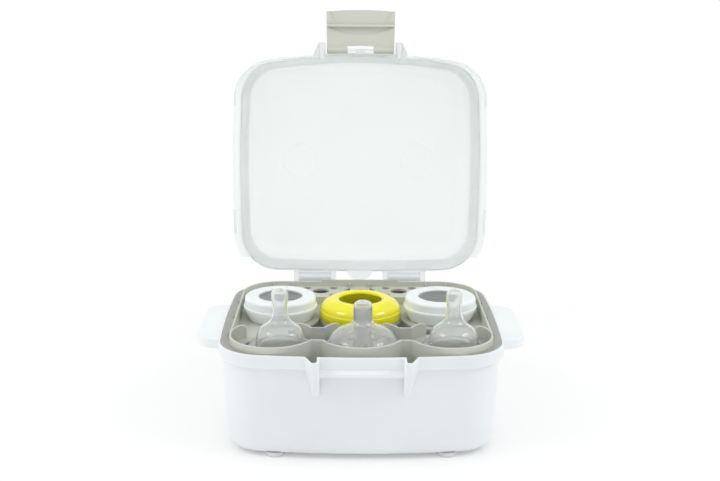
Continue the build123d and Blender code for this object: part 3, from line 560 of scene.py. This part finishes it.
def make_floor():
    """A wide white paper floor that keeps the object's soft shadow and fades to plain white."""
    low, high = -floor_half, floor_half
    corners = [(low, low, 0), (high, low, 0), (high, high, 0), (low, high, 0)]
    mesh = bpy.data.meshes.new("floor")
    mesh.from_pydata(corners, [], [(0, 1, 2, 3)])
    floor = bpy.data.objects.new("floor", mesh)
    bpy.context.scene.collection.objects.link(floor)
    material, nodes_of, links, shader = new_material("floor_paper")
    shader.inputs["Base Color"].default_value = (*floor_color, 1)
    shader.inputs["Roughness"].default_value = floor_roughness
    place = nodes_of.new("ShaderNodeTexCoord")
    away = nodes_of.new("ShaderNodeVectorMath")
    away.operation = "LENGTH"
    links.new(place.outputs["Object"], away.inputs[0])
    distance = away.outputs["Value"]
    fade = map_range(nodes_of, links, distance, near_radius, far_radius, near_share, far_share)
    share = math_node(nodes_of, links, "MULTIPLY", seen_share(nodes_of, links), fade)
    shown = seen_white(nodes_of, links, shader.outputs[0], share)
    links.new(shown, nodes_of["Material Output"].inputs["Surface"])
    mesh.materials.append(material)


def make_world():
    """Soft light from all round, weaker from the front."""
    world = bpy.data.worlds.new("studio")
    bpy.context.scene.world = world
    world.use_nodes = True
    nodes_of = world.node_tree.nodes
    links = world.node_tree.links
    ambient = nodes_of["Background"]
    ambient.inputs["Color"].default_value = white
    place = nodes_of.new("ShaderNodeTexCoord")
    toward_y = parts_of(nodes_of, links, place.outputs["Generated"])["Y"]
    strength = map_range(nodes_of, links, toward_y, front_y, round_y, front_light, round_light)
    links.new(strength, ambient.inputs["Strength"])
    shown = seen_white(nodes_of, links, ambient.outputs[0], seen_share(nodes_of, links))
    links.new(shown, nodes_of["World Output"].inputs["Surface"])


def make_lamp(name, place):
    """A softbox that is turned to the object."""
    lamp = bpy.data.lights.new(name, "AREA")
    lamp.shape = "RECTANGLE"
    lamp.size, lamp.size_y = softbox_size
    lamp.energy = softbox_power
    made = bpy.data.objects.new(name, lamp)
    bpy.context.scene.collection.objects.link(made)
    made.location = place
    toward = Vector(softbox_target) - Vector(place)
    made.rotation_euler = toward.to_track_quat("-Z", "Y").to_euler()


def make_camera():
    """The camera that took the photograph."""
    camera = bpy.data.cameras.new("camera")
    camera.sensor_fit = "HORIZONTAL"
    camera.sensor_width = sensor_width
    camera.lens = focal_pixels * sensor_width / photo_width
    camera.clip_start = camera_near
    made = bpy.data.objects.new("camera", camera)
    bpy.context.scene.collection.objects.link(made)
    turn = (
        Matrix.Rotation(camera_turn, 4, "Z")
        @ Matrix.Rotation(pi / 2 - camera_down, 4, "X")
        @ Matrix.Rotation(camera_roll, 4, "Z")
    )
    made.matrix_world = Matrix.Translation(camera_place) @ turn
    bpy.context.scene.camera = made


tub_plastic = plastic("tub_plastic", tub_color, roughness=0.32, subsurface=0.2)
foot_rubber = plastic("foot_rubber", foot_color, roughness=0.6, grain=600.0, grain_strength=0.3)
# The rack and the latch carry a painted highlight along their edges
rack_plastic = plastic("rack_plastic", rack_color, roughness=0.4, spread=0.03, edge_highlight_amount=0.45)
# The flange's darker grey is painted shade; it is the same plastic as the rest of the rack
rack_flange_shaded_plastic = plastic(
    "rack_flange_shaded_plastic", rack_flange_shaded_color, roughness=0.4, spread=0.03, edge_highlight_amount=0.45
)
lid_plastic = clear_plastic(
    "lid_plastic", lid_color, roughness=0.42, transmission=0.84, index=1.2, with_rings=True
)
latch_plastic = plastic("latch_plastic", latch_color, roughness=0.38, spread=0.03, edge_highlight_amount=0.3)
white_ring_plastic = plastic(
    "white_ring_plastic", white_ring_color, roughness=0.2, subsurface=0.4, grain_strength=0.03
)
yellow_ring_plastic = plastic(
    "yellow_ring_plastic", yellow_ring_color, roughness=0.11, grain_strength=0.01, coat=0.4, subsurface=0.5
)
silicone = clear_plastic("silicone", silicone_color, roughness=0.05, transmission=0.82, index=1.41)

dress("base_tub", tub_plastic)
dress("foot_", foot_rubber)
dress("rack_", rack_plastic)
dress("rack_flange", rack_flange_shaded_plastic)
dress("lid", lid_plastic)
dress("hinge_arm_", lid_plastic)
dress("latch", latch_plastic)
dress("latch_bracket", lid_plastic)
dress("ring_left", white_ring_plastic)
dress("ring_right", white_ring_plastic)
dress("ring_middle", yellow_ring_plastic)
dress("teat_", silicone)
dress("vent_insert", vent_plastic("vent_plastic"))

small_outer = soft_line(small_dome)
teat("left", small_outer, slanted_rib)
teat("right", small_outer, slanted_rib)
teat("middle", soft_line(wide_dome) + ribbed_neck() + soft_line(wide_tip), plain)
white_ring("left")
white_ring("right")
yellow_ring()

make_floor()
make_world()
for side, lamp_name in ((-1, "left_softbox"), (1, "right_softbox")):
    make_lamp(lamp_name, (side * softbox_aside, softbox_y, softbox_z))
make_camera()
bpy.context.scene.view_settings.view_transform = "Standard"
